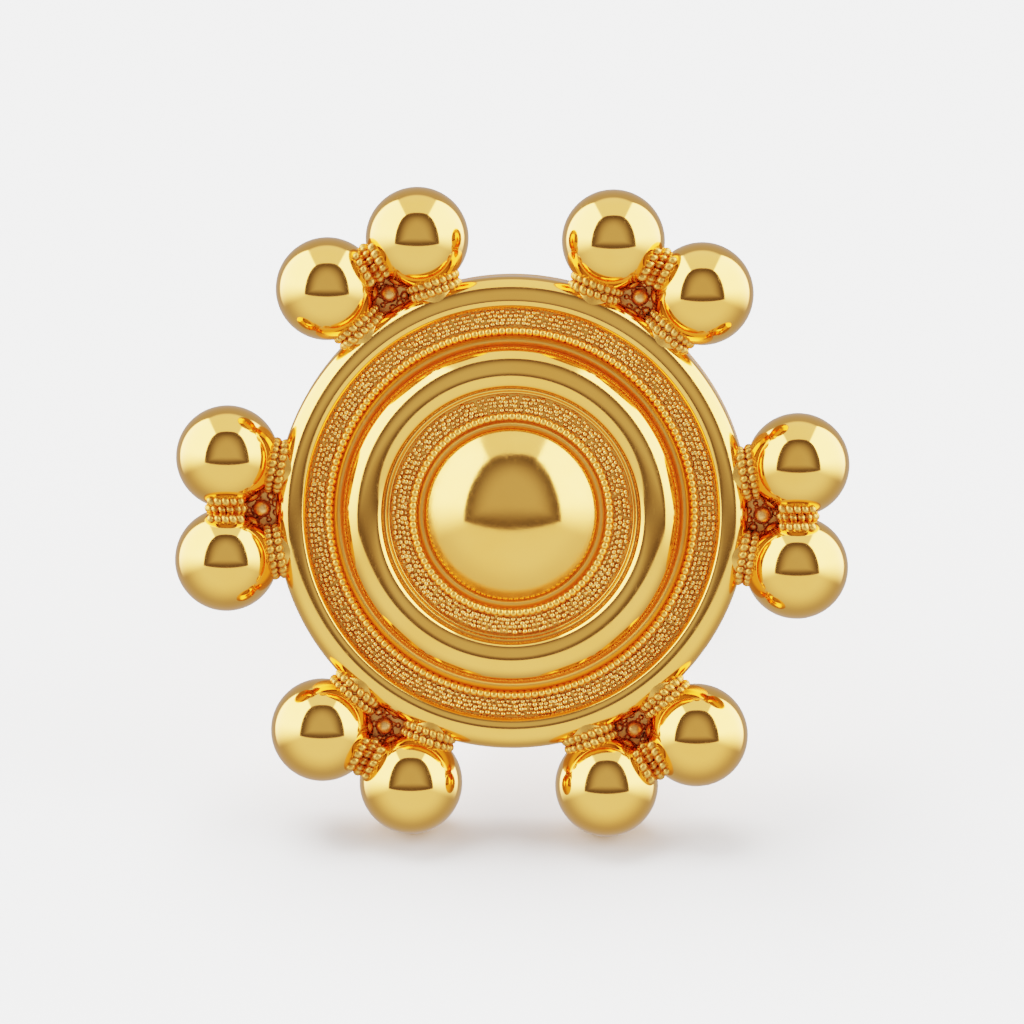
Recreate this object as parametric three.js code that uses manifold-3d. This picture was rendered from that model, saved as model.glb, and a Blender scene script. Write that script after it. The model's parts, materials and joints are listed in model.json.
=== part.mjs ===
// Gold stud earring: a round stepped rosette with twelve balls in six pairs round its rim, a soldered ear
// post and a friction nut. Millimetres, +Z up.
//
// The pieces are modelled about the axis of the rosette's face. In that frame the face looks along -Y, the
// post points along +Y, and the plane y = 0 holds the centres of all twelve balls. The whole stud is then
// leaned back until it rests on its two lowest balls and on the nut, as it does when it is laid on a table.

import * as THREE from 'three';
import { mergeVertices } from 'three/addons/utils/BufferGeometryUtils.js';
import Module from 'manifold-3d';

// Rosette. A height is measured towards the viewer from the plane of the balls' centres.
const PLATE_RADIUS = 5.2;
const PLATE_BACK = -0.95;
const PLATE_EDGE_ROUND = 0.12;
const ROUND_SIDES = 48;

// Rings of the face, from the rim inwards: radii and heights at the outer side, the crest and the inner
// side, and the facets from the crest down to either side. Each side is a quarter of an ellipse.
const RINGS = [
  { name: 'rim', radii: [PLATE_RADIUS, 4.75, 4.5], heights: [0.08, 0.55, 0.38], facets: 3 },
  { name: 'outer_band', radii: [4.46, 4.3, 4.13], heights: [0.2, 0.33, 0.22], facets: 2 },
  { name: 'outer_wire', radii: [4.11, 4.015, 3.92], heights: [0.22, 0.42, 0.2], facets: 2 },
  { name: 'polished_ring', radii: [3.7, 3.13, 2.79], heights: [0.6, 1.15, 0.95], facets: 4 },
  { name: 'inner_band', radii: [2.62, 2.46, 2.31], heights: [0.62, 0.77, 0.64], facets: 2 },
  { name: 'inner_wire', radii: [2.29, 2.165, 2.04], heights: [0.64, 0.88, 0.62], facets: 2 },
];

// Height of the groove outside each ring that stands above its neighbours.
const GROOVE_BY_RING = { polished_ring: 0.2, inner_band: 0.6 };

const DOME = { radius: 1.88, foot: 0.6, base: 0.82, top: 1.7, facets: 5 };

// Balls, collars and small granules.
const PAIRS = 6;
const BALL_RADIUS = 1.133;
const BALL_CIRCLE = 6.37;
const BALL_SIDES = 16;
const RIM_COLLAR = { radius: 0.6, from: 5.0, to: 5.62, sides: 12 };
const PAIR_COLLAR = { radius: 0.5, length: 0.9, sides: 12 };
const SMALL_GRANULE = { radius: 0.31, circle: 5.5, sides: 10 };

// Ear post, measured backwards from the flat back, and how deep its root is sunk into the plate.
const POST = { radius: 0.45, length: 10.5, sunk: 0.3, chamfer: 0.15, sides: 16 };

// Ear nut: one strip bent into a plate with a curl at each end, and the curls reach in to the post from both
// sides. The lobe gap is the room between the flat back and the nut's plate.
const NUT = { thickness: 0.35, height: 4.6, lobeGap: 6.5 };
const CURL = { radius: 0.95, sweep: 300, facets: 15 };
const NUT_CLEARANCE = 0.07;

// Vertices closer than this are one vertex.
const MERGE_DISTANCE = 1e-5;

// Half the angle between the two balls of a pair, which just touch.
const PAIR_HALF_ANGLE = Math.asin(BALL_RADIUS / BALL_CIRCLE);
const PAIR_STEP = (2 * Math.PI) / PAIRS;
const PLATE_BACK_Y = -PLATE_BACK;

// Nut, in the frame of the face: its plate's middle plane, the curls' centres and its rearmost surface.
const NUT_PLATE_Y = PLATE_BACK_Y + NUT.lobeGap + NUT.thickness / 2;
const CURL_X = POST.radius + NUT_CLEARANCE + NUT.thickness / 2 + CURL.radius;
const CURL_Y = NUT_PLATE_Y + CURL.radius;
const NUT_REAR_Y = CURL_Y + CURL.radius + NUT.thickness / 2;

// Lean of the resting stud: the line that touches the lowest balls from below and the nut's rear lower edge.
const LOWEST_BALL_Z = -BALL_CIRCLE * Math.cos(PAIR_STEP / 2 - PAIR_HALF_ANGLE);
const NUT_BOTTOM_Z = -NUT.height / 2;
const CONTACT_RISE = NUT_BOTTOM_Z - LOWEST_BALL_Z;
const CONTACT_SPAN = Math.hypot(NUT_REAR_Y, CONTACT_RISE);
const LEAN = Math.atan2(CONTACT_RISE, NUT_REAR_Y) + Math.asin(BALL_RADIUS / CONTACT_SPAN);

const wasm = await Module();
wasm.setup();

const gold = new THREE.MeshStandardMaterial({ color: 0xd9a84a, roughness: 0.18, metalness: 1.0 });
const nutGold = new THREE.MeshStandardMaterial({ color: 0xd6a84e, roughness: 0.25, metalness: 1.0 });

/** Turns a closed geometry into a solid that can be joined and cut. */
function toSolid(geometry) {
  const bare = geometry.clone();
  bare.deleteAttribute('normal');
  bare.deleteAttribute('uv');
  const merged = mergeVertices(bare, MERGE_DISTANCE);
  const triangles = [];
  for (let i = 0; i < merged.index.count; i += 3) {
    const corners = [merged.index.getX(i), merged.index.getX(i + 1), merged.index.getX(i + 2)];
    if (new Set(corners).size === 3) {
      triangles.push(...corners);
    }
  }
  const vertProperties = new Float32Array(merged.attributes.position.array);
  const triVerts = new Uint32Array(triangles);
  return new wasm.Manifold(new wasm.Mesh({ numProp: 3, vertProperties, triVerts }));
}

/** Turns a solid back into a geometry with flat facets. */
function toGeometry(solid) {
  const mesh = solid.getMesh();
  const geometry = new THREE.BufferGeometry();
  geometry.setAttribute('position', new THREE.BufferAttribute(mesh.vertProperties, 3));
  geometry.setIndex(new THREE.BufferAttribute(mesh.triVerts, 1));
  geometry.computeVertexNormals();
  return geometry;
}

/** Joins a list of solids into one. */
function union(solids) {
  return solids.reduce((whole, next) => whole.add(next));
}

/** Point in the plane of the balls' centres, given by radius and angle round the face's axis. */
function onCircle(radius, angle) {
  return new THREE.Vector3(radius * Math.cos(angle), 0, radius * Math.sin(angle));
}

/** Profile of one ring as points of radius and height, from its outer side over the crest. */
function ringProfile({ name, radii, heights, facets }) {
  const [outer, crest, inner] = radii;
  const [outerFoot, top, innerFoot] = heights;
  const points = [];
  if (name in GROOVE_BY_RING) {
    points.push([outer, GROOVE_BY_RING[name]]);
  }
  for (let i = -facets; i <= facets; i += 1) {
    const turn = (Math.PI / 2) * (i / facets);
    const side = i < 0 ? outer : inner;
    const foot = i < 0 ? outerFoot : innerFoot;
    points.push([crest + (side - crest) * Math.abs(Math.sin(turn)), foot + (top - foot) * Math.cos(turn)]);
  }
  return points;
}

/** Profile of the dome: a short wall and a spherical cap that ends on the axis. */
function domeProfile() {
  const rise = DOME.top - DOME.base;
  const capRadius = (DOME.radius ** 2 + rise ** 2) / (2 * rise);
  const capCentre = DOME.top - capRadius;
  const capAngle = Math.asin(DOME.radius / capRadius);
  const points = [[DOME.radius, DOME.foot]];
  for (let i = 0; i <= DOME.facets; i += 1) {
    const angle = capAngle * (1 - i / DOME.facets);
    points.push([capRadius * Math.sin(angle), capCentre + capRadius * Math.cos(angle)]);
  }
  return points;
}

/** Stepped disc of the rosette, turned about the axis of the face. */
function discSolid() {
  const back = [
    [0, PLATE_BACK],
    [PLATE_RADIUS - PLATE_EDGE_ROUND, PLATE_BACK],
    [PLATE_RADIUS, PLATE_BACK + PLATE_EDGE_ROUND],
  ];
  const heights = [...back, ...RINGS.flatMap(ringProfile), ...domeProfile()];
  const profile = heights.map(([radius, height]) => new THREE.Vector2(radius, height));
  const disc = new THREE.LatheGeometry(profile, ROUND_SIDES);
  // The lathe turns about Y with the heights along +Y, and the face looks along -Y.
  disc.rotateX(Math.PI);
  return toSolid(disc);
}

/** One ball, with its poles upright in the leaned stud so that it touches the table with a pole. */
function ballSolid(angle) {
  const ball = new THREE.SphereGeometry(BALL_RADIUS, BALL_SIDES, BALL_SIDES / 2);
  ball.rotateX(Math.PI / 2 + LEAN);
  const centre = onCircle(BALL_CIRCLE, angle);
  ball.translate(centre.x, centre.y, centre.z);
  return toSolid(ball);
}

/** Collar between a ball and the rim, along the radius through the ball. */
function rimCollarSolid(angle) {
  const length = RIM_COLLAR.to - RIM_COLLAR.from;
  const collar = new THREE.CylinderGeometry(RIM_COLLAR.radius, RIM_COLLAR.radius, length, RIM_COLLAR.sides);
  collar.rotateZ(-Math.PI / 2);
  collar.rotateY(-angle);
  const centre = onCircle((RIM_COLLAR.from + RIM_COLLAR.to) / 2, angle);
  collar.translate(centre.x, centre.y, centre.z);
  return toSolid(collar);
}

/** Collar between the two balls of a pair, along the line that joins their centres. */
function pairCollarSolid(angle) {
  const collar = new THREE.CylinderGeometry(
    PAIR_COLLAR.radius, PAIR_COLLAR.radius, PAIR_COLLAR.length, PAIR_COLLAR.sides,
  );
  collar.rotateX(Math.PI / 2);
  collar.rotateY(-angle);
  const centre = onCircle(BALL_CIRCLE * Math.cos(PAIR_HALF_ANGLE), angle);
  collar.translate(centre.x, centre.y, centre.z);
  return toSolid(collar);
}

/** Small granule in the gap between a pair and the rim. */
function smallGranuleSolid(angle) {
  const { radius, sides } = SMALL_GRANULE;
  const granule = new THREE.SphereGeometry(radius, sides, sides / 2);
  const centre = onCircle(SMALL_GRANULE.circle, angle);
  granule.translate(centre.x, centre.y, centre.z);
  return toSolid(granule);
}

/** Ear post, soldered into the flat back, with a chamfered tip. */
function postSolid() {
  const root = PLATE_BACK_Y - POST.sunk;
  const tip = PLATE_BACK_Y + POST.length;
  const profile = [
    new THREE.Vector2(0, root),
    new THREE.Vector2(POST.radius, root),
    new THREE.Vector2(POST.radius, tip - POST.chamfer),
    new THREE.Vector2(POST.radius - POST.chamfer, tip),
    new THREE.Vector2(0, tip),
  ];
  return toSolid(new THREE.LatheGeometry(profile, POST.sides));
}

/** The soldered front of the stud with its post, as one mesh. */
function makeRosette() {
  const solids = [discSolid(), postSolid()];
  for (let pair = 0; pair < PAIRS; pair += 1) {
    const middle = pair * PAIR_STEP;
    for (const side of [-1, 1]) {
      const angle = middle + side * PAIR_HALF_ANGLE;
      solids.push(ballSolid(angle), rimCollarSolid(angle));
    }
    solids.push(pairCollarSolid(middle), smallGranuleSolid(middle));
  }
  const rosette = new THREE.Mesh(toGeometry(union(solids)), gold);
  rosette.name = 'rosette';
  return rosette;
}

/** Middle line of the nut's strip with its outward normals, from one curl's tip to the other's. */
function nutMiddleLine() {
  const points = [];
  const normals = [];
  for (const side of [-1, 1]) {
    for (let i = 0; i <= CURL.facets; i += 1) {
      const share = side < 0 ? 1 - i / CURL.facets : i / CURL.facets;
      const turn = THREE.MathUtils.degToRad(-90 + CURL.sweep * share);
      const outward = new THREE.Vector2(side * Math.cos(turn), Math.sin(turn));
      normals.push(outward);
      points.push(new THREE.Vector2(side * CURL_X, CURL_Y).addScaledVector(outward, CURL.radius));
    }
  }
  return { points, normals };
}

/** Friction nut: the bent strip, with a hole in its plate for the post. */
function makeEarNut() {
  const { points, normals } = nutMiddleLine();
  const half = NUT.thickness / 2;
  const outer = points.map((point, i) => point.clone().addScaledVector(normals[i], half));
  const inner = points.map((point, i) => point.clone().addScaledVector(normals[i], -half));
  const outline = new THREE.Shape([...outer, ...inner.reverse()]);
  const strip = new THREE.ExtrudeGeometry(outline, { depth: NUT.height, bevelEnabled: false });
  strip.translate(0, 0, -NUT.height / 2);
  const boreRadius = POST.radius + NUT_CLEARANCE;
  const bore = new THREE.CylinderGeometry(boreRadius, boreRadius, 2 * NUT.thickness, POST.sides);
  bore.translate(0, NUT_PLATE_Y, 0);
  const nut = new THREE.Mesh(toGeometry(toSolid(strip).subtract(toSolid(bore))), nutGold);
  nut.name = 'ear_nut';
  return nut;
}

/** The stud, leaned back on the table, with the origin on the table under the middle of its box. */
function makeEarring() {
  const stud = new THREE.Group();
  stud.add(makeRosette(), makeEarNut());
  stud.rotation.x = -LEAN;
  const frontY = LOWEST_BALL_Z * Math.sin(LEAN) - BALL_RADIUS;
  const tipY = PLATE_BACK_Y + POST.length;
  const rearY = tipY * Math.cos(LEAN) + (POST.radius - POST.chamfer) * Math.sin(LEAN);
  stud.position.set(0, -(frontY + rearY) / 2, BALL_RADIUS - LOWEST_BALL_Z * Math.cos(LEAN));
  const earring = new THREE.Group();
  earring.add(stud);
  return earring;
}

export default makeEarring();
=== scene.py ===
"""Looks of the gold stud earring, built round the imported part.

Sizes are in millimetres about the axis of the rosette's face: X to the right, Y up the face, Z towards the
viewer, and Z = 0 in the plane of the balls' centres. A Seat carries each finished piece from there to its
place in the part's frame, in metres.
"""

import json
import logging
import math
import random
from dataclasses import dataclass
from enum import Enum
from typing import Any, Sequence

import bpy
from mathutils import Matrix, Vector


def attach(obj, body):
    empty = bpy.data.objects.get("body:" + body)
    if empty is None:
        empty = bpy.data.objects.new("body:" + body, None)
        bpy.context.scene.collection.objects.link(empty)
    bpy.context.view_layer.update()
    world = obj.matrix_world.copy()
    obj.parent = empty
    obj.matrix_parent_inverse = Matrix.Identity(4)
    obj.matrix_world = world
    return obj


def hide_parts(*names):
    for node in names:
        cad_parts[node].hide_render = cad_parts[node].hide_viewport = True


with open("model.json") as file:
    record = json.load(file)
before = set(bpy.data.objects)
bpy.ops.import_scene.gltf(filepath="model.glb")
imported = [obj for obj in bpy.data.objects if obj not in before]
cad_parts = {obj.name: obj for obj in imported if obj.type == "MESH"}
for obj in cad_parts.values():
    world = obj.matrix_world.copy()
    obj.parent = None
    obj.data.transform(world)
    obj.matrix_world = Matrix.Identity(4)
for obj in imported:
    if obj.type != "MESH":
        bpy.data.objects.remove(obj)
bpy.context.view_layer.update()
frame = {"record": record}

MM = 0.001
MERGE = 1e-4
BEAD_LEVEL = 2
ROUND_STEPS = 6
BODY = "root"

Point = tuple[float, float]
Color = tuple[float, float, float, float]

log = logging.getLogger("stud_earring")


class Slot(Enum):
    """Material slots of the record."""

    POLISHED = "polished_gold"
    NUT = "nut_gold"


class Node(Enum):
    """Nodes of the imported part."""

    ROSETTE = "rosette"
    EAR_NUT = "ear_nut"


# --- Working on the bench ---


def pick_only(*pieces: bpy.types.Object) -> None:
    """Selects these objects and nothing else, and makes the first one active.

    Args:
        pieces: the objects to select.
    """
    bpy.ops.object.select_all(action="DESELECT")
    for piece in pieces:
        piece.select_set(True)
    bpy.context.view_layer.objects.active = pieces[0]


def name_piece(piece: bpy.types.Object, name: str) -> bpy.types.Object:
    """Gives an object and its mesh one name.

    Args:
        piece: the object to name.
        name: the new name.

    Returns:
        The same object.
    """
    piece.name = name
    piece.data.name = name
    return piece


def trace_profile(points: Sequence[Point], closed: bool) -> bpy.types.Object:
    """Draws a profile in the XZ plane as a chain of edges and stays in edit mode with all of it selected.

    Args:
        points: radius and height of each corner, in order.
        closed: whether the last corner is joined to the first.

    Returns:
        The object that holds the chain.
    """
    bpy.ops.object.select_all(action="DESELECT")
    bpy.ops.mesh.primitive_plane_add(size=1.0, location=(0, 0, 0))
    bpy.ops.object.mode_set(mode="EDIT")
    bpy.ops.mesh.select_mode(type="VERT")
    bpy.ops.mesh.select_all(action="SELECT")
    bpy.ops.mesh.merge(type="CENTER")
    x, z = points[0]
    bpy.ops.transform.translate(value=(x, 0, z))
    for next_x, next_z in points[1:]:
        step = (next_x - x, 0, next_z - z)
        bpy.ops.mesh.extrude_region_move(TRANSFORM_OT_translate={"value": step})
        x, z = next_x, next_z
    if closed:
        step = (points[0][0] - x, 0, points[0][1] - z)
        bpy.ops.mesh.extrude_region_move(TRANSFORM_OT_translate={"value": step})
    bpy.ops.mesh.select_all(action="SELECT")
    if closed:
        bpy.ops.mesh.remove_doubles(threshold=MERGE)
        bpy.ops.mesh.select_all(action="SELECT")
    return bpy.context.object


def turn_profile(name: str, points: Sequence[Point], sides: int, closed: bool = True) -> bpy.types.Object:
    """Turns a profile once round the Z axis into a closed solid.

    Args:
        name: name of the new piece.
        points: radius and height of each corner, in order.
        sides: number of steps of the turn.
        closed: whether the profile is a loop; an open one starts and ends on the axis.

    Returns:
        The turned piece, in object mode.
    """
    piece = trace_profile(points, closed)
    bpy.ops.mesh.spin(steps=sides, angle=2 * math.pi, center=(0, 0, 0), axis=(0, 0, 1))
    bpy.ops.mesh.select_all(action="SELECT")
    bpy.ops.mesh.remove_doubles(threshold=MERGE)
    bpy.ops.mesh.select_all(action="SELECT")
    bpy.ops.mesh.normals_make_consistent(inside=False)
    bpy.ops.object.mode_set(mode="OBJECT")
    return name_piece(piece, name)


def smooth(piece: bpy.types.Object, sharp_deg: float = 40.0) -> None:
    """Shades a piece smooth, except over edges sharper than an angle in degrees."""
    pick_only(piece)
    bpy.ops.object.shade_smooth_by_angle(angle=math.radians(sharp_deg))


def set_down(piece: bpy.types.Object, place: Matrix) -> None:
    """Moves a piece's mesh by a matrix and leaves its object at the origin.

    Args:
        piece: the piece to move.
        place: the movement.
    """
    piece.matrix_world = place @ piece.matrix_world
    pick_only(piece)
    bpy.ops.object.transform_apply(location=True, rotation=True, scale=True)


def copy_piece(piece: bpy.types.Object, name: str, place: Matrix) -> bpy.types.Object:
    """Copies a piece with a mesh of its own and moves the copy.

    Args:
        piece: the piece to copy.
        name: name of the copy.
        place: the movement of the copy.

    Returns:
        The copy.
    """
    twin = piece.copy()
    twin.data = piece.data.copy()
    bpy.context.collection.objects.link(twin)
    twin.data.transform(place)
    return name_piece(twin, name)


def remove_piece(piece: bpy.types.Object) -> None:
    """Takes away a pattern piece that was only there to be copied."""
    bpy.data.objects.remove(piece, do_unlink=True)


def join_pieces(pieces: Sequence[bpy.types.Object]) -> bpy.types.Object:
    """Joins pieces into the first of them.

    Args:
        pieces: the pieces to join.

    Returns:
        The joined piece.
    """
    pick_only(*pieces)
    bpy.ops.object.join()
    return bpy.context.object


def add_bead(radius: float) -> bpy.types.Object:
    """Adds a bead of few faces, as a pattern to copy.

    Args:
        radius: radius of the bead.

    Returns:
        The bead.
    """
    bpy.ops.object.select_all(action="DESELECT")
    bpy.ops.mesh.primitive_ico_sphere_add(subdivisions=BEAD_LEVEL, radius=radius, location=(0, 0, 0))
    return bpy.context.object


def add_ball(radius: float, sides: int) -> bpy.types.Object:
    """Adds a ball of many faces.

    Args:
        radius: radius of the ball.
        sides: faces round it.

    Returns:
        The ball.
    """
    bpy.ops.object.select_all(action="DESELECT")
    bpy.ops.mesh.primitive_uv_sphere_add(segments=sides, ring_count=sides // 2, radius=radius,
                                         location=(0, 0, 0))
    return bpy.context.object


def edit_all() -> None:
    """Enters edit mode with the whole of the active piece selected."""
    bpy.ops.object.mode_set(mode="EDIT")
    bpy.ops.mesh.select_all(action="SELECT")


def shade_round(piece: bpy.types.Object) -> None:
    """Shades a piece smooth all over."""
    pick_only(piece)
    bpy.ops.object.shade_smooth()


def cut_flat(point: Sequence[float], normal: Sequence[float]) -> None:
    """Cuts the active piece flat, as where it is soldered down.

    Args:
        point: a point of the cut.
        normal: direction from the cut towards what stays.
    """
    edit_all()
    bpy.ops.mesh.bisect(plane_co=point, plane_no=normal, use_fill=True, clear_inner=True)
    bpy.ops.object.mode_set(mode="OBJECT")


def apply_modifier(piece: bpy.types.Object, kind: str, **settings: Any) -> None:
    """Adds a modifier to a piece, sets it and applies it.

    Args:
        piece: the piece to change.
        kind: the modifier's type.
        settings: the modifier's settings.
    """
    pick_only(piece)
    modifier = piece.modifiers.new(kind.title(), kind)
    for key, value in settings.items():
        setattr(modifier, key, value)
    bpy.ops.object.modifier_apply(modifier=modifier.name)


def quarter(side: Point, crest: Point, steps: int) -> list[Point]:
    """Quarter of an ellipse from a moulding's side, where it is upright, to its crest, where it is level.

    Args:
        side: radius and height of the side.
        crest: radius and height of the crest.
        steps: number of facets.

    Returns:
        The points from side to crest.
    """
    points = []
    for i in range(steps + 1):
        turn = math.pi / 2 * i / steps
        radius = crest[0] + (side[0] - crest[0]) * math.cos(turn)
        height = side[1] + (crest[1] - side[1]) * math.sin(turn)
        points.append((radius, height))
    return points


def arc(centre: Point, radius: float, start_deg: float, end_deg: float,
        steps: int = ROUND_STEPS) -> list[Point]:
    """Points of a circular arc.

    Args:
        centre: radius and height of its centre.
        radius: radius of the arc.
        start_deg: first angle in degrees, from +radius towards +height.
        end_deg: last angle in degrees.
        steps: number of facets.

    Returns:
        The points from the first angle to the last.
    """
    points = []
    for i in range(steps + 1):
        turn = math.radians(start_deg + (end_deg - start_deg) * i / steps)
        points.append((centre[0] + radius * math.cos(turn), centre[1] + radius * math.sin(turn)))
    return points


def round_face(angle: float) -> Matrix:
    """Turn about the axis of the face."""
    return Matrix.Rotation(angle, 4, "Z")


def shift(x: float = 0.0, y: float = 0.0, z: float = 0.0) -> Matrix:
    """Straight movement."""
    return Matrix.Translation((x, y, z))


@dataclass(frozen=True)
class Seat:
    """Where the face's frame lies in the part's frame.

    Attributes:
        lean: angle by which the face looks up from the horizontal.
        origin: centre of the balls' circle, in metres.
    """

    lean: float
    origin: Vector

    MOUNT = "back_plate"
    MOUNT_POINT = (0.0, 3.0, -0.95)

    @classmethod
    def from_record(cls, record: dict[str, Any]) -> "Seat":
        """Works out the seat from the mount on the flat back.

        Args:
            record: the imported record.

        Returns:
            The seat.
        """
        mount = next(m for m in record["mounts"] if m["name"] == cls.MOUNT)
        lean = math.atan2(-mount["axis"][2], mount["axis"][1])
        turn = Matrix.Rotation(math.pi / 2 - lean, 4, "X")
        return cls(lean, Vector(mount["pos_m"]) - turn @ (Vector(cls.MOUNT_POINT) * MM))

    def turn(self) -> Matrix:
        """Rotation from the face's frame to the part's frame."""
        return Matrix.Rotation(math.pi / 2 - self.lean, 4, "X")

    def place(self, piece: bpy.types.Object) -> None:
        """Carries a piece from the face's frame, in millimetres, to its place in metres."""
        set_down(piece, Matrix.Translation(self.origin) @ self.turn() @ Matrix.Scale(MM, 4))


# --- Finishes ---


class Term:
    """Socket of a shader network that takes part in arithmetic."""

    def __init__(self, net: "Network", socket: Any) -> None:
        """Wraps an output socket of a network."""
        self.net = net
        self.socket = socket

    def _math(self, operation: str, first: Any, second: Any) -> "Term":
        """Adds a Math node to the network."""
        return self.net.add("ShaderNodeMath", {"operation": operation}, {0: first, 1: second})

    def __add__(self, other: Any) -> "Term":
        """Sum."""
        return self._math("ADD", self, other)

    __radd__ = __add__

    def __sub__(self, other: Any) -> "Term":
        """Difference."""
        return self._math("SUBTRACT", self, other)

    def __rsub__(self, other: Any) -> "Term":
        """Difference from a number."""
        return self._math("SUBTRACT", other, self)

    def __mul__(self, other: Any) -> "Term":
        """Product."""
        return self._math("MULTIPLY", self, other)

    __rmul__ = __mul__

    def __truediv__(self, other: Any) -> "Term":
        """Quotient."""
        return self._math("DIVIDE", self, other)

    def __abs__(self) -> "Term":
        """Size without sign."""
        return self._math("ABSOLUTE", self, 0.0)

    def least(self, other: Any) -> "Term":
        """The smaller of two values."""
        return self._math("MINIMUM", self, other)

    def most(self, other: Any) -> "Term":
        """The larger of two values."""
        return self._math("MAXIMUM", self, other)

    def ramp(self, low: float, high: float) -> "Term":
        """Smooth step from 0 at the low value to 1 at the high one."""
        settings = {"interpolation_type": "SMOOTHSTEP"}
        return self.net.add("ShaderNodeMapRange", settings, {0: self, 1: low, 2: high, 3: 0.0, 4: 1.0})


class Network:
    """Shader network of a material or of the world."""

    def __init__(self, tree: bpy.types.NodeTree) -> None:
        """Empties a node tree and builds in it."""
        self.tree = tree
        tree.nodes.clear()

    def add(self, kind: str, settings: dict[str, Any], inputs: dict[Any, Any], out: Any = None) -> Term:
        """Adds a node.

        Args:
            kind: the node's type.
            settings: its own settings, set first.
            inputs: values or links of its sockets, by name or number.
            out: name or number of the socket to return; the first enabled one by default.

        Returns:
            The chosen output.
        """
        node = self.tree.nodes.new(kind)
        for key, value in settings.items():
            setattr(node, key, value)
        for key, value in inputs.items():
            socket = node.inputs[key]
            if isinstance(value, Term):
                self.tree.links.new(value.socket, socket)
            else:
                socket.default_value = value
        if out is None:
            usable = [socket for socket in node.outputs if socket.enabled]
            return Term(self, usable[0]) if usable else Term(self, None)
        return Term(self, node.outputs[out])

    def mix_color(self, factor: Any, first: Any, second: Any) -> Term:
        """Mixes two colours.

        Args:
            factor: share of the second colour.
            first: the first colour.
            second: the second colour.

        Returns:
            The mixed colour.
        """
        node = self.add("ShaderNodeMix", {"data_type": "RGBA"}, {"Factor": factor}).socket.node
        for socket, value in zip([s for s in node.inputs if s.type == "RGBA"], (first, second)):
            if isinstance(value, Term):
                self.tree.links.new(value.socket, socket)
            else:
                socket.default_value = value
        return Term(self, next(s for s in node.outputs if s.type == "RGBA"))

    def place(self, scale: Sequence[float]) -> Term:
        """Object coordinates, scaled to features per metre along each axis."""
        coords = self.add("ShaderNodeTexCoord", {}, {}, "Object")
        return self.add("ShaderNodeMapping", {}, {"Vector": coords, "Scale": tuple(scale)})

    def noise(self, scale: Sequence[float], detail: float = 2.0) -> Term:
        """Noise about 0.5, with features per metre along each axis and a number of finer layers."""
        inputs = {"Vector": self.place(scale), "Scale": 1.0, "Detail": detail}
        return self.add("ShaderNodeTexNoise", {}, inputs, "Fac")

    def show(self, inputs: dict[str, Any]) -> None:
        """Makes a principled shader with these inputs the surface."""
        shader = self.add("ShaderNodeBsdfPrincipled", {}, inputs)
        self.add("ShaderNodeOutputMaterial", {}, {"Surface": shader})


def new_material(name: str) -> tuple[Network, bpy.types.Material]:
    """Makes a material with an empty network.

    Args:
        name: name of the material.

    Returns:
        The network and the material.
    """
    material = bpy.data.materials.new(name)
    material.use_nodes = True
    return Network(material.node_tree), material


@dataclass(frozen=True)
class GoldFinish:
    """Gold, polished to a degree.

    Attributes:
        name: name of the material.
        color: what the metal reflects when looked at squarely.
        deep: colour of its slightly redder patches.
        roughness: blur of its reflections.
        haze: how much the roughness varies.
        wave: height of the slow waves left by handwork, in metres.
        wave_pitch: waves per metre.
        grain: height of the fine grain, in metres.
        grain_pitch: grains per metre.
        scratch: how much the polishing scratches add to the roughness.
        patch_pitch: redder patches per metre.
        haze_pitch: hazy patches per metre.
        scratch_pitch: scratches per metre along each axis.
    """

    name: str
    color: Color = (0.955, 0.45, 0.108, 1.0)
    deep: Color = (0.94, 0.425, 0.097, 1.0)
    roughness: float = 0.06
    haze: float = 0.03
    wave: float = 1.5e-6
    wave_pitch: float = 900.0
    grain: float = 1.2e-7
    grain_pitch: float = 9000.0
    scratch: float = 0.05
    patch_pitch: float = 700.0
    haze_pitch: float = 2600.0
    scratch_pitch: tuple[float, float, float] = (14000.0, 900.0, 5000.0)

    def material(self) -> bpy.types.Material:
        """Builds the material.

        Returns:
            The material.
        """
        net, material = new_material(self.name)
        patches = net.noise([self.patch_pitch] * 3, 3.0).ramp(0.35, 0.7)
        scratches = net.noise(self.scratch_pitch, 2.0).ramp(0.6, 0.75)
        haze = net.noise([self.haze_pitch] * 3, 3.0).ramp(0.3, 0.75)
        height = net.noise([self.wave_pitch] * 3, 1.0) * self.wave
        height = height + net.noise([self.grain_pitch] * 3, 2.0) * self.grain
        bump = net.add("ShaderNodeBump", {}, {"Height": height, "Distance": 1.0, "Strength": 1.0})
        inputs = {
            "Base Color": net.mix_color(patches, self.color, self.deep),
            "Metallic": 1.0,
            "Roughness": haze * self.haze + scratches * self.scratch + self.roughness,
            "Normal": bump,
        }
        net.show(inputs)
        return material


@dataclass(frozen=True)
class PaperFinish:
    """Matt pale paper of the floor.

    Attributes:
        name: name of the material.
        color: its colour.
        shade: colour of its slightly darker patches.
        patch_pitch: patches per metre.
        roughness: blur of its sheen.
        sheen: level of its sheen.
    """

    name: str = "pale_paper"
    color: Color = (0.65, 0.65, 0.65, 1.0)
    shade: Color = (0.64, 0.64, 0.64, 1.0)
    patch_pitch: float = 40.0
    roughness: float = 0.9
    sheen: float = 0.1

    def material(self) -> bpy.types.Material:
        """Builds the material.

        Returns:
            The material.
        """
        net, material = new_material(self.name)
        tone = net.mix_color(net.noise([self.patch_pitch] * 3), self.color, self.shade)
        inputs = {"Base Color": tone, "Roughness": self.roughness, "Specular IOR Level": self.sheen}
        net.show(inputs)
        return material


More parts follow.
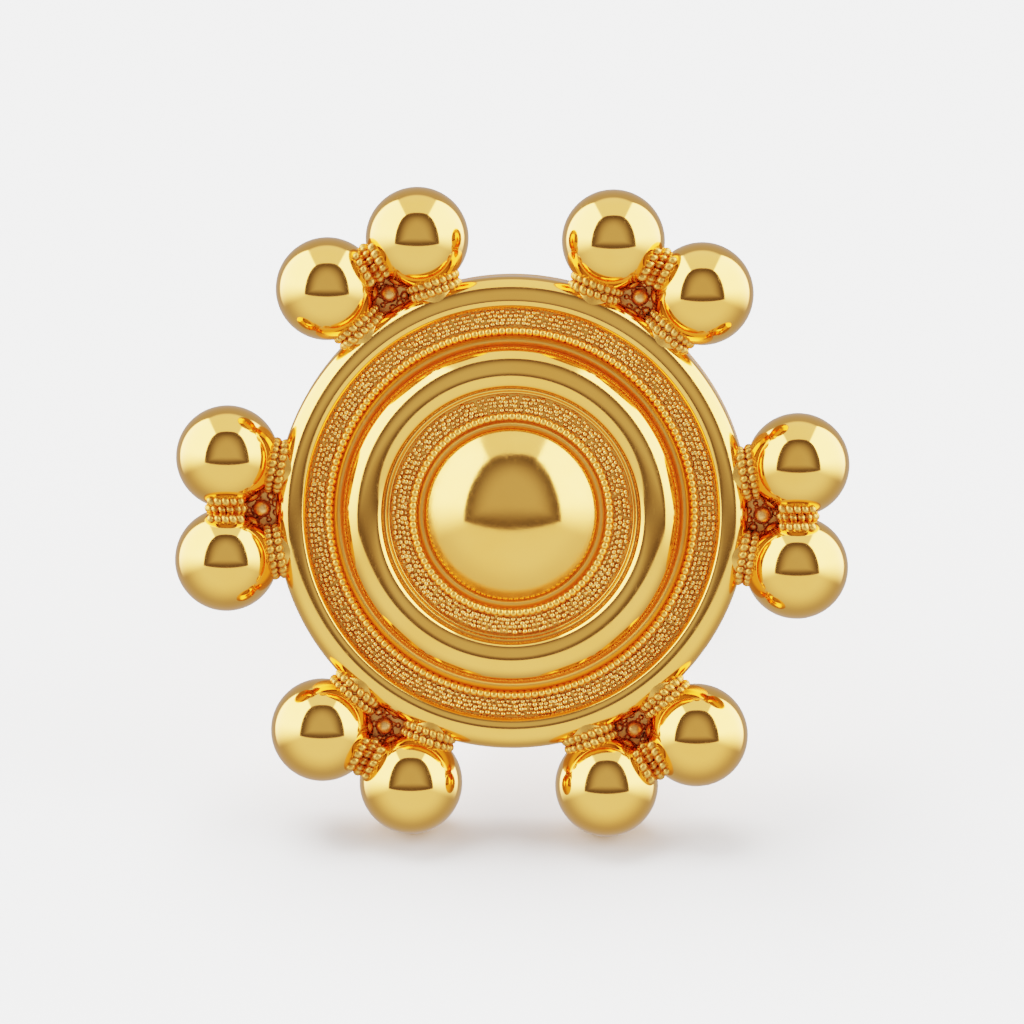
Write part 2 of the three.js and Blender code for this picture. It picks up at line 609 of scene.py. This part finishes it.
class Gold(Enum):
    """The gold finishes of the stud."""

    BALL = GoldFinish("ball_gold")
    RING = GoldFinish("ring_gold", roughness=0.08, haze=0.04, scratch=0.07)
    DOME = GoldFinish("satin_dome_gold", roughness=0.1, haze=0.05, grain=4e-7, grain_pitch=11000.0)
    GRANULE = GoldFinish("granule_gold", (0.9, 0.51, 0.175, 1.0), (0.86, 0.46, 0.145, 1.0), 0.26, wave=0.0)
    WIRE = GoldFinish("wire_gold", roughness=0.3, wave=0.0)
    # Painted shade: the collars' gold is darker than the balls' to stand for the shade in the gaps between
    # balls and rim.
    TWIST = GoldFinish("twisted_wire_painted_shade_gold", (0.76, 0.37, 0.095, 1.0), (0.68, 0.31, 0.07, 1.0), roughness=0.4)
    SOLDER = GoldFinish("fire_stained_gold", (0.9, 0.47, 0.17, 1.0), (0.8, 0.38, 0.12, 1.0), roughness=0.4)
    BACK = GoldFinish("back_gold", roughness=0.28, haze=0.06, scratch=0.12)
    POST = GoldFinish("post_gold", roughness=0.12, haze=0.05, scratch=0.1)
    NUT = GoldFinish("nut_plain_gold", roughness=0.14, haze=0.05, scratch=0.1)


_made: dict[Gold, bpy.types.Material] = {}


@dataclass
class SubAssembly:
    """Part of the stud that is made in the face's frame and then seated.

    Attributes:
        seat: where the face lies.
    """

    seat: Seat

    def finish(self, piece: bpy.types.Object, gold: Gold, slot: Slot = Slot.POLISHED,
               node: Node = Node.ROSETTE) -> bpy.types.Object:
        """Seats a piece, gives it its gold and its body, and hides the node of the imported part that it
        stands for.

        Args:
            piece: the piece, in the face's frame.
            gold: its finish.
            slot: its material slot in the record; not used.
            node: the node that it stands for.

        Returns:
            The piece.
        """
        self.seat.place(piece)
        if gold not in _made:
            _made[gold] = gold.value.material()
        piece.data.materials.clear()
        piece.data.materials.append(_made[gold])
        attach(piece, BODY)
        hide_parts(node.value)
        return piece


# --- Stepped disc ---


@dataclass
class BackPlate(SubAssembly):
    """Plate with a plain flat back that carries the rings of the face.

    Attributes:
        radius: radius of the plate.
        back: height of its flat back.
        edge_round: radius of its rear edge.
        edge_top: height of its edge at the front.
        rim_bed: radius and height of the bed under the rim.
        ring_bed: height of the bed under the polished ring.
        step: radius of the inner step.
        bed: height of the outer step.
        inner_bed: height of the inner step.
        outer_groove: radius and height of the outer groove's middle.
        outer_groove_radius: radius of its section.
        inner_groove: radius and height of the inner groove's middle.
        inner_groove_radius: radius of its section.
        flare: how far a groove's edges lean outwards.
        groove_steps: facets of a groove.
        sides: steps round the axis.
    """

    radius: float = 5.2
    back: float = -0.95
    edge_round: float = 0.12
    edge_top: float = 0.0
    rim_bed: Point = (5.05, 0.16)
    ring_bed: float = 0.5
    step: float = 2.66
    bed: float = 0.2
    inner_bed: float = 0.6
    outer_groove: Point = (3.81, 0.3)
    outer_groove_radius: float = 0.11
    inner_groove: Point = (1.97, 0.66)
    inner_groove_radius: float = 0.1
    flare: float = 0.02
    groove_steps: int = 10
    sides: int = 256

    def front(self) -> list[Point]:
        """Front of the plate: two steps, each with a round groove.

        Returns:
            Its points, from the edge to the middle.
        """
        outer = arc(self.outer_groove, self.outer_groove_radius, 0, -180, self.groove_steps)
        inner = arc(self.inner_groove, self.inner_groove_radius, 0, -180, self.groove_steps)
        points = [(self.radius, self.edge_top), self.rim_bed, (outer[0][0] + self.flare, self.bed), *outer]
        points += [(outer[-1][0] - self.flare, self.ring_bed), (self.step, self.inner_bed), *inner]
        return points + [(inner[-1][0] - self.flare, self.inner_bed), (0.0, self.inner_bed)]

    def build(self) -> bpy.types.Object:
        """Turns the plate.

        Returns:
            The plate.
        """
        corner = (self.radius - self.edge_round, self.back + self.edge_round)
        edge = arc(corner, self.edge_round, -90, 0)
        plate = turn_profile("back_plate", [(0.0, self.back), *edge, *self.front()], self.sides, closed=False)
        smooth(plate)
        return self.finish(plate, Gold.BACK)


@dataclass
class Moulding(SubAssembly):
    """Ring of the face whose section rises as quarter ellipses on both sides to a level crest.

    Attributes:
        name: name of the piece.
        outer: radius and height of its outer side.
        crest: radius and height of its crest.
        inner: radius and height of its inner side.
        root: height down to which it is sunk.
        lines: centres of the fine lines on its inner wall.
        line_radius: radius of a fine line.
        steps: facets of each side.
        sides: steps round the axis.
    """

    name: str
    outer: Point
    crest: Point
    inner: Point
    root: float
    lines: Sequence[Point] = ()
    line_radius: float = 0.035
    steps: int = 14
    sides: int = 256

    def section(self) -> list[Point]:
        """Closed section of the ring.

        Returns:
            Its points, from the outer root over the crest to the inner root.
        """
        points = [(self.outer[0], self.root), *quarter(self.outer, self.crest, self.steps)]
        points += quarter(self.inner, self.crest, self.steps)[-2::-1]
        for centre in self.lines:
            points += arc(centre, self.line_radius, 60, 240)
        points.append((points[-1][0], self.root))
        return points

    def build(self) -> bpy.types.Object:
        """Turns the ring.

        Returns:
            The ring.
        """
        ring = turn_profile(self.name, self.section(), self.sides)
        smooth(ring)
        return self.finish(ring, Gold.RING)


@dataclass
class GranuleBand(SubAssembly):
    """Band of fine granules in rows, with the beaded wire that borders it.

    Attributes:
        name: first part of the names of its pieces.
        rows: radius of each row's circle.
        height: height of the granules' centres.
        wire: radius of the wire's circle.
        wire_height: height of the wire's middle.
        wire_pitch: distance between the wire's beads, which run into one another.
        seed: start of the random draws.
        granule: radius of a granule.
        pitch: distance between neighbours in a row.
        wire_radius: radius of the wire.
        jitter: how far a granule may stray along its row and across it.
        size_swing: share by which a granule may be larger or smaller.
        lift: how far a granule may lie above or below its row.
        cut: from a bead's centre down to its solder flat, over its radius.
    """

    name: str
    rows: Sequence[float]
    height: float
    wire: float
    wire_height: float
    wire_pitch: float
    seed: int
    granule: float = 0.054
    pitch: float = 0.112
    wire_radius: float = 0.1
    jitter: float = 0.02
    size_swing: float = 0.22
    lift: float = 0.025
    cut: float = 0.6

    def grain(self, radius: float) -> bpy.types.Object:
        """One granule, a little flattened where it is soldered down.

        Args:
            radius: radius of the granule.

        Returns:
            The granule, at the origin.
        """
        grain = add_bead(radius)
        cut_flat((0, 0, -self.cut * radius), (0, 0, 1))
        shade_round(grain)
        return grain

    def row(self, pattern: bpy.types.Object, circle: float, height: float, pitch: float,
            draw: random.Random, jitter: float) -> list[bpy.types.Object]:
        """Copies a bead round a circle.

        Args:
            pattern: the bead.
            circle: radius of the circle.
            height: height of the beads' centres.
            pitch: distance between neighbours.
            draw: source of the random draws.
            jitter: how far a bead may stray.

        Returns:
            The copies.
        """
        count = round(2 * math.pi * circle / pitch)
        start = draw.random()
        beads = []
        for i in range(count):
            angle = 2 * math.pi * (i + start) / count + draw.uniform(-jitter, jitter) / circle
            radius = circle + draw.uniform(-jitter, jitter)
            size = 1 + draw.uniform(-self.size_swing, self.size_swing) * (jitter > 0)
            spin = Matrix.Rotation(draw.uniform(0, math.pi), 4, "Z")
            rise = height + draw.uniform(-self.lift, self.lift) * (jitter > 0)
            place = round_face(angle) @ shift(radius, 0, rise) @ Matrix.Scale(size, 4) @ spin
            beads.append(copy_piece(pattern, "bead", place))
        return beads

    def joined(self, part: str, beads: list[bpy.types.Object], gold: Gold) -> bpy.types.Object:
        """Joins beads into one finished piece."""
        return self.finish(name_piece(join_pieces(beads), f"{self.name}_{part}"), gold)

    def build(self) -> list[bpy.types.Object]:
        """Sets the granules and the wire.

        Returns:
            The two pieces.
        """
        draw = random.Random(self.seed)
        pattern = self.grain(self.granule)
        beads = []
        for circle in self.rows:
            beads += self.row(pattern, circle, self.height, self.pitch, draw, self.jitter)
        remove_piece(pattern)
        granules = self.joined("granules", beads, Gold.GRANULE)
        pattern = self.grain(self.wire_radius)
        beads = self.row(pattern, self.wire, self.wire_height, self.wire_pitch, draw, 0.0)
        remove_piece(pattern)
        return [granules, self.joined("wire", beads, Gold.WIRE)]


@dataclass
class Dome(SubAssembly):
    """Central dome, flatter in the middle, on a short wall.

    Attributes:
        radius: radius of the wall.
        edge: radius at which the cap starts.
        foot: height of the wall's foot, which is sunk in the plate.
        top: height of the top.
        fall: weights of the second, fourth, sixth and eighth powers of the radius in the cap's fall.
        ease: drop from the cap's edge to the top of the wall.
        steps: facets from the top to the edge.
        sides: steps round the axis.
    """

    radius: float = 1.88
    edge: float = 1.86
    foot: float = 0.4
    top: float = 1.5
    fall: Sequence[float] = (0.147, 0.0433, -0.00532, -0.00038)
    ease: float = 0.02
    steps: int = 40
    sides: int = 192

    def height(self, radius: float) -> float:
        """Height of the cap at a radius."""
        return self.top - sum(weight * radius ** (2 * i + 2) for i, weight in enumerate(self.fall))

    def build(self) -> bpy.types.Object:
        """Turns the dome.

        Returns:
            The dome.
        """
        radii = [self.edge * (1 - i / self.steps) for i in range(self.steps + 1)]
        rim = (self.radius, self.height(self.edge) - self.ease)
        profile = [(0.0, self.foot), (self.radius, self.foot), rim, *[(r, self.height(r)) for r in radii]]
        dome = turn_profile("dome", profile, self.sides, closed=False)
        smooth(dome)
        return self.finish(dome, Gold.DOME)


# --- Balls round the rim ---


@dataclass
class BallRing(SubAssembly):
    """Twelve balls in six pairs, with collars of twisted wire and a granule in each gap by the rim.

    Attributes:
        pairs: number of pairs.
        ball, ball_sides: radius of a ball and faces round it.
        circle: radius of the circle of the balls' centres.
        solder_flat: from a ball's centre to its solder flat.
        collar_core, collar_span: radius of a rim collar's core, and where it starts and ends.
        collar_rings, ring_circle: places and radius of a rim collar's two wires.
        pair_core, pair_span: radius of a pair collar's core, and where it starts and ends.
        pair_ring: radius of a pair collar's middle wire.
        saddle_ring, saddle_angle: radius and half angle of the arcs of wire on either side of it.
        saddle_place: distance of those wires from the middle one.
        wire, strand_pitch: radius of the twisted wire and distance between its turns.
        strand_twist, strand_shape: slant of a turn and its stretch along each axis.
        strand_swing: share by which a turn may be larger or smaller.
        strand_beat: how fast that changes from turn to turn and from wire to wire.
        granule, granule_sides: radius of a small granule and faces round it.
        granule_cut: from its centre to its solder flat, over its radius.
        granule_circle, granule_height: where the small granules' centres lie.
        web, web_top: radius and top of a bed of solder.
        web_thickness, web_round: its thickness and the radius of its upper edge.
        grain, grains: radius of its grains, and the radius and number of each ring of them.
        grain_turn: how far a grain may stray along its ring, over the distance to its neighbour.
        grain_stray: how far it may stray across its ring.
        grain_rise, grain_size: its least and most height above the bed, and size over its radius.
        seed: start of the random draws.
        collar_sides: steps round a core or a bed.
    """

    pairs: int = 6
    ball: float = 1.133
    circle: float = 6.37
    ball_sides: int = 96
    solder_flat: float = 1.05
    collar_core: float = 0.5
    collar_span: Point = (4.9, 5.5)
    collar_rings: Sequence[float] = (5.16, 5.36)
    ring_circle: float = 0.52
    pair_core: float = 0.34
    pair_span: Point = (-0.3, 0.3)
    pair_ring: float = 0.38
    saddle_ring: float = 0.66
    saddle_place: float = 0.2
    saddle_angle: float = math.radians(36)
    wire: float = 0.11
    strand_pitch: float = 0.165
    strand_twist: float = math.radians(30)
    strand_shape: tuple[float, float, float] = (1.05, 0.85, 1.0)
    strand_swing: float = 0.1
    strand_beat: Point = (5.3, 9.0)
    granule: float = 0.2
    granule_sides: int = 40
    granule_cut: float = 0.8
    granule_circle: float = 5.5
    granule_height: float = -0.05
    web: float = 0.6
    web_top: float = -0.2
    web_thickness: float = 0.4
    web_round: float = 0.15
    grain: float = 0.085
    grains: Sequence[tuple[float, int]] = ((0.2, 5), (0.33, 9), (0.47, 13))
    grain_turn: float = 0.25
    grain_stray: float = 0.04
    grain_rise: Point = (-0.02, 0.06)
    grain_size: Point = (0.7, 1.25)
    seed: int = 7
    collar_sides: int = 48

    @property
    def half_angle(self) -> float:
        """Half the angle between the two balls of a pair, which just touch."""
        return math.asin(self.ball / self.circle)

    def model_ball(self) -> bpy.types.Object:
        """One ball, with a solder flat that faces the rim.

        Returns:
            The ball, at the origin.
        """
        ball = add_ball(self.ball, self.ball_sides)
        cut_flat((-self.solder_flat, 0, 0), (1, 0, 0))
        smooth(ball)
        return ball

    def model_strand(self) -> bpy.types.Object:
        """One turn of a twisted wire, a little longer than thick.

        Returns:
            The turn, at the origin.
        """
        strand = add_bead(self.wire)
        edit_all()
        bpy.ops.transform.resize(value=self.strand_shape)
        bpy.ops.object.mode_set(mode="OBJECT")
        shade_round(strand)
        return strand

    def lay_wire(self, strand: bpy.types.Object, along: float, circle: float,
                 half: float) -> list[bpy.types.Object]:
        """Lays a twisted wire on an arc round X, with its middle at the front.

        Args:
            strand: one turn of the wire.
            along: place of the arc along X.
            circle: radius of the arc.
            half: half of the arc's angle.

        Returns:
            The turns of the wire.
        """
        count = round(2 * half * circle / self.strand_pitch)
        twist = Matrix.Rotation(self.strand_twist, 4, "Z")
        by_turn, by_wire = self.strand_beat
        turns = []
        for i in range(count):
            angle = half * (2 * i + 1 - count) / count
            swell = Matrix.Scale(1 + self.strand_swing * math.sin(by_turn * i + by_wire * along), 4)
            place = Matrix.Rotation(angle, 4, "X") @ shift(along, 0, circle) @ twist @ swell
            turns.append(copy_piece(strand, "strand", place))
        return turns

    def model_collar(self, core: float, span: Point,
                     arcs: Sequence[tuple[float, float, float]]) -> bpy.types.Object:
        """Twisted wires round a short core.

        Args:
            core: radius of the core.
            span: where the core starts and ends.
            arcs: place, radius and half angle of each wire.

        Returns:
            The collar, with the core along X.
        """
        points = [(0.0, span[0]), (core, span[0]), (core, span[1]), (0.0, span[1])]
        collar = turn_profile("collar", points, self.collar_sides, closed=False)
        set_down(collar, Matrix.Rotation(math.pi / 2, 4, "Y"))
        smooth(collar)
        strand = self.model_strand()
        pieces = [collar]
        for along, circle, half in arcs:
            pieces += self.lay_wire(strand, along, circle, half)
        remove_piece(strand)
        return join_pieces(pieces)

    def model_web(self) -> bpy.types.Object:
        """Low round bed of solder with rings of fine grains, which closes the gap behind the small granule.

        Returns:
            The bed, with its axis along Z.
        """
        foot = self.web_top - self.web_thickness
        corner = (self.web - self.web_round, self.web_top - self.web_round)
        edge = arc(corner, self.web_round, 0, 90)
        points = [(0.0, foot), (self.web, foot), *edge, (0.0, self.web_top)]
        web = turn_profile("web", points, self.collar_sides, closed=False)
        smooth(web)
        grain = add_bead(self.grain)
        shade_round(grain)
        draw = random.Random(self.seed)
        pieces = [web]
        for circle, count in self.grains:
            for i in range(count):
                angle = 2 * math.pi * (i + draw.uniform(-self.grain_turn, self.grain_turn)) / count
                radius = circle + draw.uniform(-self.grain_stray, self.grain_stray)
                rise = self.web_top + draw.uniform(*self.grain_rise)
                place = round_face(angle) @ shift(radius, 0, rise)
                size = Matrix.Scale(draw.uniform(*self.grain_size), 4)
                pieces.append(copy_piece(grain, "grain", place @ size))
        remove_piece(grain)
        return join_pieces(pieces)

    def model_granule(self) -> bpy.types.Object:
        """One small granule with a solder flat on its back.

        Returns:
            The granule, at the origin.
        """
        granule = add_ball(self.granule, self.granule_sides)
        cut_flat((0, 0, -self.granule_cut * self.granule), (0, 0, 1))
        smooth(granule)
        return granule

    def build(self) -> list[bpy.types.Object]:
        """Sets the balls, collars and small granules round the rim.

        Returns:
            The pieces.
        """
        ball = self.model_ball()
        rims = [(along, self.ring_circle, math.pi) for along in self.collar_rings]
        rim_collar = self.model_collar(self.collar_core, self.collar_span, rims)
        rows = [(side * self.saddle_place, self.saddle_ring, self.saddle_angle) for side in (-1, 1)]
        middle_ring = (0.0, self.pair_ring, math.pi)
        pair_collar = self.model_collar(self.pair_core, self.pair_span, [middle_ring, *rows])
        granule = self.model_granule()
        web = self.model_web()
        touch = self.circle * math.cos(self.half_angle)
        made: list[tuple[bpy.types.Object, Gold]] = []
        for pair in range(self.pairs):
            middle = 2 * math.pi * pair / self.pairs
            for side in (-1, 1):
                number = 2 * pair + (side + 1) // 2 + 1
                turn = round_face(middle + side * self.half_angle)
                made.append((copy_piece(ball, f"ball_{number:02d}", turn @ shift(self.circle)), Gold.BALL))
                # The collars take the darker gold, with the shade of the gaps painted into it.
                made.append((copy_piece(rim_collar, f"ball_collar_{number:02d}", turn), Gold.TWIST))
            turn = round_face(middle)
            across = turn @ shift(touch) @ round_face(math.pi / 2)
            made.append((copy_piece(pair_collar, f"pair_collar_{pair + 1}", across), Gold.TWIST))
            inward = turn @ shift(self.granule_circle)
            made.append((copy_piece(web, f"solder_bed_{pair + 1}", inward), Gold.SOLDER))
            inward = inward @ shift(z=self.granule_height)
            made.append((copy_piece(granule, f"small_granule_{pair + 1}", inward), Gold.SOLDER))
        for pattern in (ball, rim_collar, pair_collar, granule, web):
            remove_piece(pattern)
        return [self.finish(piece, gold) for piece, gold in made]


# --- Post and nut ---


@dataclass
class EarPost(SubAssembly):
    """Plain ear post, soldered into the flat back.

    Attributes:
        radius: radius of the post.
        back: height of the flat back.
        length: length behind the flat back.
        sunk: how deep its root is sunk into the plate.
        chamfer: radius of its rounded tip.
        fillet: radius of the solder round its root.
        fillet_steps: facets of the solder.
        sides: steps round the post.
    """

    radius: float = 0.45
    back: float = -0.95
    length: float = 10.48
    sunk: float = 0.3
    chamfer: float = 0.15
    fillet: float = 0.22
    fillet_steps: int = 8
    sides: int = 64

    def build(self) -> bpy.types.Object:
        """Turns the post.

        Returns:
            The post.
        """
        tip = self.back - self.length
        corner = (self.radius - self.chamfer, tip + self.chamfer)
        bend = (self.radius + self.fillet, self.back - self.fillet)
        foot = arc(bend, self.fillet, 180, 90, self.fillet_steps)
        profile = [(0.0, tip), *arc(corner, self.chamfer, -90, 0), *foot]
        profile += [(foot[-1][0], self.back + self.sunk), (0.0, self.back + self.sunk)]
        post = turn_profile("ear_post", profile, self.sides, closed=False)
        smooth(post)
        return self.finish(post, Gold.POST)


@dataclass
class EarNut(SubAssembly):
    """Friction nut: one strip bent into a plate with a curl at each end that reaches in to the post.

    Attributes:
        plate: height of the middle of its plate.
        thickness: thickness of the strip.
        height: width of the strip.
        bore: radius of the hole for the post.
        curl_x: distance of a curl's centre from the post's axis.
        curl: radius of a curl.
        sweep: angle of a curl, in degrees.
        steps: facets of a curl.
        edge: width of the rounded edges.
        edge_steps: facets of a rounded edge.
        edge_deg: least angle of an edge that is rounded.
        sharp_deg: least angle of an edge that is shaded sharp.
        bore_sides: sides of the hole.
    """

    plate: float = -7.625
    thickness: float = 0.35
    height: float = 4.6
    bore: float = 0.52
    curl_x: float = 1.645
    curl: float = 0.9415
    sweep: float = 300.0
    steps: int = 45
    edge: float = 0.06
    edge_steps: int = 3
    edge_deg: float = 50.0
    sharp_deg: float = 35.0
    bore_sides: int = 64

    def middle_line(self) -> list[Point]:
        """Middle line of the strip.

        Returns:
            Its points, from one curl's tip to the other's.
        """
        centre = self.plate - self.curl
        right = arc((self.curl_x, centre), self.curl, 90, 90 - self.sweep, self.steps)
        return [(-x, z) for x, z in reversed(right)] + right

    def build(self) -> bpy.types.Object:
        """Bends the strip and drills it.

        Returns:
            The nut.
        """
        nut = trace_profile(self.middle_line(), closed=False)
        bpy.ops.transform.translate(value=(0, -self.height / 2, 0))
        bpy.ops.mesh.extrude_region_move(TRANSFORM_OT_translate={"value": (0, self.height, 0)})
        bpy.ops.mesh.select_all(action="SELECT")
        bpy.ops.mesh.normals_make_consistent(inside=False)
        bpy.ops.object.mode_set(mode="OBJECT")
        name_piece(nut, "friction_nut")
        apply_modifier(nut, "SOLIDIFY", thickness=self.thickness, offset=0.0, use_even_offset=True)
        bpy.ops.object.select_all(action="DESELECT")
        bpy.ops.mesh.primitive_cylinder_add(
            vertices=self.bore_sides, radius=self.bore, depth=4 * self.thickness, location=(0, 0, self.plate))
        drill = bpy.context.object
        apply_modifier(nut, "BOOLEAN", operation="DIFFERENCE", object=drill, solver="EXACT")
        remove_piece(drill)
        apply_modifier(nut, "BEVEL", width=self.edge, segments=self.edge_steps, limit_method="ANGLE",
                       angle_limit=math.radians(self.edge_deg))
        smooth(nut, self.sharp_deg)
        return self.finish(nut, Gold.NUT, Slot.NUT, Node.EAR_NUT)


# --- Studio ---


@dataclass(frozen=True)
class Daylight:
    """Wide soft light from above, which lays the soft shadow and isn't mirrored.

    Attributes:
        name: name of the light.
        toward: direction of its middle, seen from the stud.
        spread: angle that it fills.
        strength: light on a surface that faces it, in watts per square metre.
    """

    name: str = "overhead_daylight"
    toward: tuple[float, float, float] = (-0.25, 0.55, 1.0)
    spread: float = math.radians(42)
    strength: float = 7.5

    def build(self) -> bpy.types.Object:
        """Hangs the light.

        Returns:
            The light.
        """
        bpy.ops.object.select_all(action="DESELECT")
        bpy.ops.object.light_add(type="SUN", location=(0, 0, 0))
        lamp = bpy.context.object
        lamp.name = self.name
        lamp.data.angle = self.spread
        lamp.data.energy = self.strength
        lamp.rotation_mode = "QUATERNION"
        lamp.rotation_quaternion = Vector(self.toward).to_track_quat("Z", "Y")
        lamp.visible_glossy = False
        lamp.visible_camera = False
        return lamp


@dataclass(frozen=True)
class Surroundings:
    """What the gold mirrors: two tall soft boxes, a top light, a reflector with a dark frame, and the room.

    Directions are given by their tangents in the studio's frame: right, up and toward the viewer.

    Attributes:
        room: brightness of the room behind the stud.
        front: brightness of the pale table in front.
        top: brightness of the top light.
        box: brightness of the soft boxes.
        box_reach: how far the soft boxes reach behind the stud, as depth over breadth.
        box_top: their top edge, as height over breadth.
        box_foot: where they fade out and where they are full, as height over breadth.
        frame: brightness of the reflector's dark frame.
        card: brightness of the reflector.
        card_side: half width of the reflector at the horizon and its loss with height.
        card_foot: height of its lower edge.
        card_top: height of its upper edge.
        borders: widths of the frame at the sides, foot and top.
        corner: how round its upper corners are.
        paper: brightness of the backdrop for the camera.
        horizon: heights between which the front gives way to the top light.
        top_reach: depths over height between which the top light starts.
        front_reach: depths between which the front gets full.
        box_soft: softness of the soft boxes' rear and top edges.
        card_shade: distances from the edge, over the border, between which the frame turns into the card.
        card_soft: softness of the frame's outer edge.
        card_reach: depths between which the reflector starts.
        least: least breadth, height or depth to divide by.
    """

    room: float = 0.55
    front: float = 1.5
    top: float = 1.7
    box: float = 6.0
    box_reach: float = -0.85
    box_top: float = 2.0
    box_foot: Point = (-0.45, 0.2)
    frame: float = 0.15
    card: float = 0.69
    card_side: Point = (1.2, 0.23)
    card_foot: float = -0.345
    card_top: float = 1.62
    borders: Sequence[float] = (0.85, 0.36, 1.05)
    corner: float = 0.6
    paper: float = 2.71
    horizon: Point = (-0.05, 0.05)
    top_reach: Point = (-0.5, -0.3)
    front_reach: Point = (-0.5, 0.6)
    box_soft: Point = (0.1, 0.15)
    card_shade: Point = (0.22, 1.0)
    card_soft: float = 0.04
    card_reach: Point = (0.05, 0.12)
    least: float = 0.05

    def mirrored(self, across: Term, up: Term, toward: Term) -> Term:
        """Brightness of the surroundings in a direction.

        Args:
            across: part of the direction to the right.
            up: part of the direction upwards.
            toward: part of the direction toward the viewer.

        Returns:
            The brightness.
        """
        upper = up.ramp(*self.horizon)
        top_light = (toward / up.most(self.least)).ramp(*self.top_reach)
        light = top_light * upper * (self.top - self.room) + self.room
        light = light + toward.ramp(*self.front_reach) * (1 - upper) * (self.front - self.room)

        breadth = abs(across).most(self.least)
        height = up / breadth
        rear, over = self.box_soft
        boxes = (toward / breadth).ramp(self.box_reach - rear, self.box_reach + rear)
        boxes = boxes * (1 - height.ramp(self.box_top - over, self.box_top + over))
        boxes = boxes * height.ramp(*self.box_foot)
        light = light + boxes * (self.box - light)

        depth = toward.most(self.least)
        height = up / depth
        side_border, foot_border, top_border = self.borders
        half_width, loss = self.card_side
        side = (half_width - height * loss - abs(across) / depth) / side_border
        top = (self.card_top - height) / top_border
        near = (1 - abs(side - top) / self.corner).most(0)
        inside = side.least(top) - near * near * self.corner / 4
        inside = inside.least((height - self.card_foot) / foot_border)
        card = inside.ramp(*self.card_shade) * (self.card - self.frame) + self.frame
        mask = inside.ramp(-self.card_soft, self.card_soft) * toward.ramp(*self.card_reach)
        return light + mask * (card - light)

    def build(self, turn: Matrix) -> None:
        """Builds the world.

        Args:
            turn: rotation whose columns are the studio's right, up and toward.
        """
        world = bpy.data.worlds.new("studio_room")
        bpy.context.scene.world = world
        world.use_nodes = True
        net = Network(world.node_tree)
        ray = net.add("ShaderNodeTexCoord", {}, {}, "Generated")
        dot = {"operation": "DOT_PRODUCT"}
        parts = [net.add("ShaderNodeVectorMath", dot, {0: ray, 1: tuple(axis)}, "Value") for axis in turn.col]
        light = self.mirrored(*parts)
        camera_ray = net.add("ShaderNodeLightPath", {}, {}, "Is Camera Ray")
        strength = light + camera_ray * (self.paper - light)
        surface = net.add("ShaderNodeBackground", {}, {"Color": (1, 1, 1, 1), "Strength": strength})
        net.add("ShaderNodeOutputWorld", {}, {"Surface": surface})


@dataclass
class Studio:
    """Pale floor, soft light and camera.

    Attributes:
        seat: where the face lies.
        distance: from the camera to the middle of the face, in metres.
        rise: angle of the camera above the axis of the face.
        swing: angle of the camera to the right of the axis of the face.
        view_width: width of the view at the stud, in metres.
        floor_size: side of the floor, in metres.
        clip: nearest and farthest distance that the camera sees, in metres.
    """

    seat: Seat
    distance: float = 0.294
    rise: float = math.radians(4.5)
    swing: float = math.radians(1.5)
    view_width: float = 0.0225
    floor_size: float = 8.0
    clip: Point = (0.01, 50.0)

    def axes(self) -> Matrix:
        """Rotation whose columns are right, up and toward the viewer."""
        elevation = self.seat.lean + self.rise
        return Matrix.Rotation(self.swing, 3, "Z") @ Matrix.Rotation(math.pi / 2 - elevation, 3, "X")

    def build_floor(self) -> bpy.types.Object:
        """Lays the floor, which the metal doesn't mirror because the surroundings hold it.

        Returns:
            The floor.
        """
        bpy.ops.object.select_all(action="DESELECT")
        bpy.ops.mesh.primitive_plane_add(size=self.floor_size, location=(0, 0, 0))
        floor = name_piece(bpy.context.object, "floor")
        floor.data.materials.append(PaperFinish().material())
        floor.visible_glossy = False
        return floor

    def build_camera(self) -> bpy.types.Object:
        """Sets up the camera at the angle of view to the face.

        Returns:
            The camera.
        """
        axes = self.axes()
        bpy.ops.object.select_all(action="DESELECT")
        bpy.ops.object.camera_add(location=self.seat.origin + axes.col[2] * self.distance)
        camera = bpy.context.object
        camera.name = "studio_camera"
        camera.rotation_mode = "QUATERNION"
        camera.rotation_quaternion = axes.to_quaternion()
        camera.data.lens = camera.data.sensor_width * self.distance / self.view_width
        camera.data.clip_start, camera.data.clip_end = self.clip
        bpy.context.scene.camera = camera
        return camera

    def build(self) -> None:
        """Builds the whole studio."""
        self.build_floor()
        Surroundings().build(self.axes())
        Daylight().build()
        self.build_camera()
        view = bpy.context.scene.view_settings
        view.view_transform = "Filmic"
        view.look = "Medium High Contrast"
        log.info("studio built")


def main() -> None:
    """Builds the stud's sub-assemblies in order, then the studio."""
    logging.basicConfig(level=logging.INFO, format="%(name)s: %(message)s")
    seat = Seat.from_record(frame["record"])
    log.info("lean %.2f degrees", math.degrees(seat.lean))
    pieces = [
        BackPlate(seat).build(),
        Moulding(seat, "rim", outer=(5.2, 0.08), crest=(4.7, 0.55), inner=(4.5, 0.38), root=0.0).build(),
        Moulding(seat, "polished_ring", outer=(3.7, 0.6), crest=(3.13, 1.15), inner=(2.79, 0.95), root=0.1,
                 lines=((2.765, 0.84), (2.7, 0.73))).build(),
        *GranuleBand(seat, "outer_band", rows=(4.16, 4.25, 4.34, 4.43), height=0.27,
                     wire=4.01, wire_height=0.33, wire_pitch=0.15, seed=11).build(),
        *GranuleBand(seat, "inner_band", rows=(2.305, 2.395, 2.485, 2.575), height=0.71,
                     wire=2.16, wire_height=0.75, wire_pitch=0.14, seed=12).build(),
        Dome(seat).build(),
        *BallRing(seat).build(),
        EarPost(seat).build(),
        EarNut(seat).build(),
    ]
    for piece in pieces:
        log.info("%s: %d faces, %s", piece.name, len(piece.data.polygons), piece.active_material.name)
    Studio(seat).build()


if __name__ == "__main__":
    main()
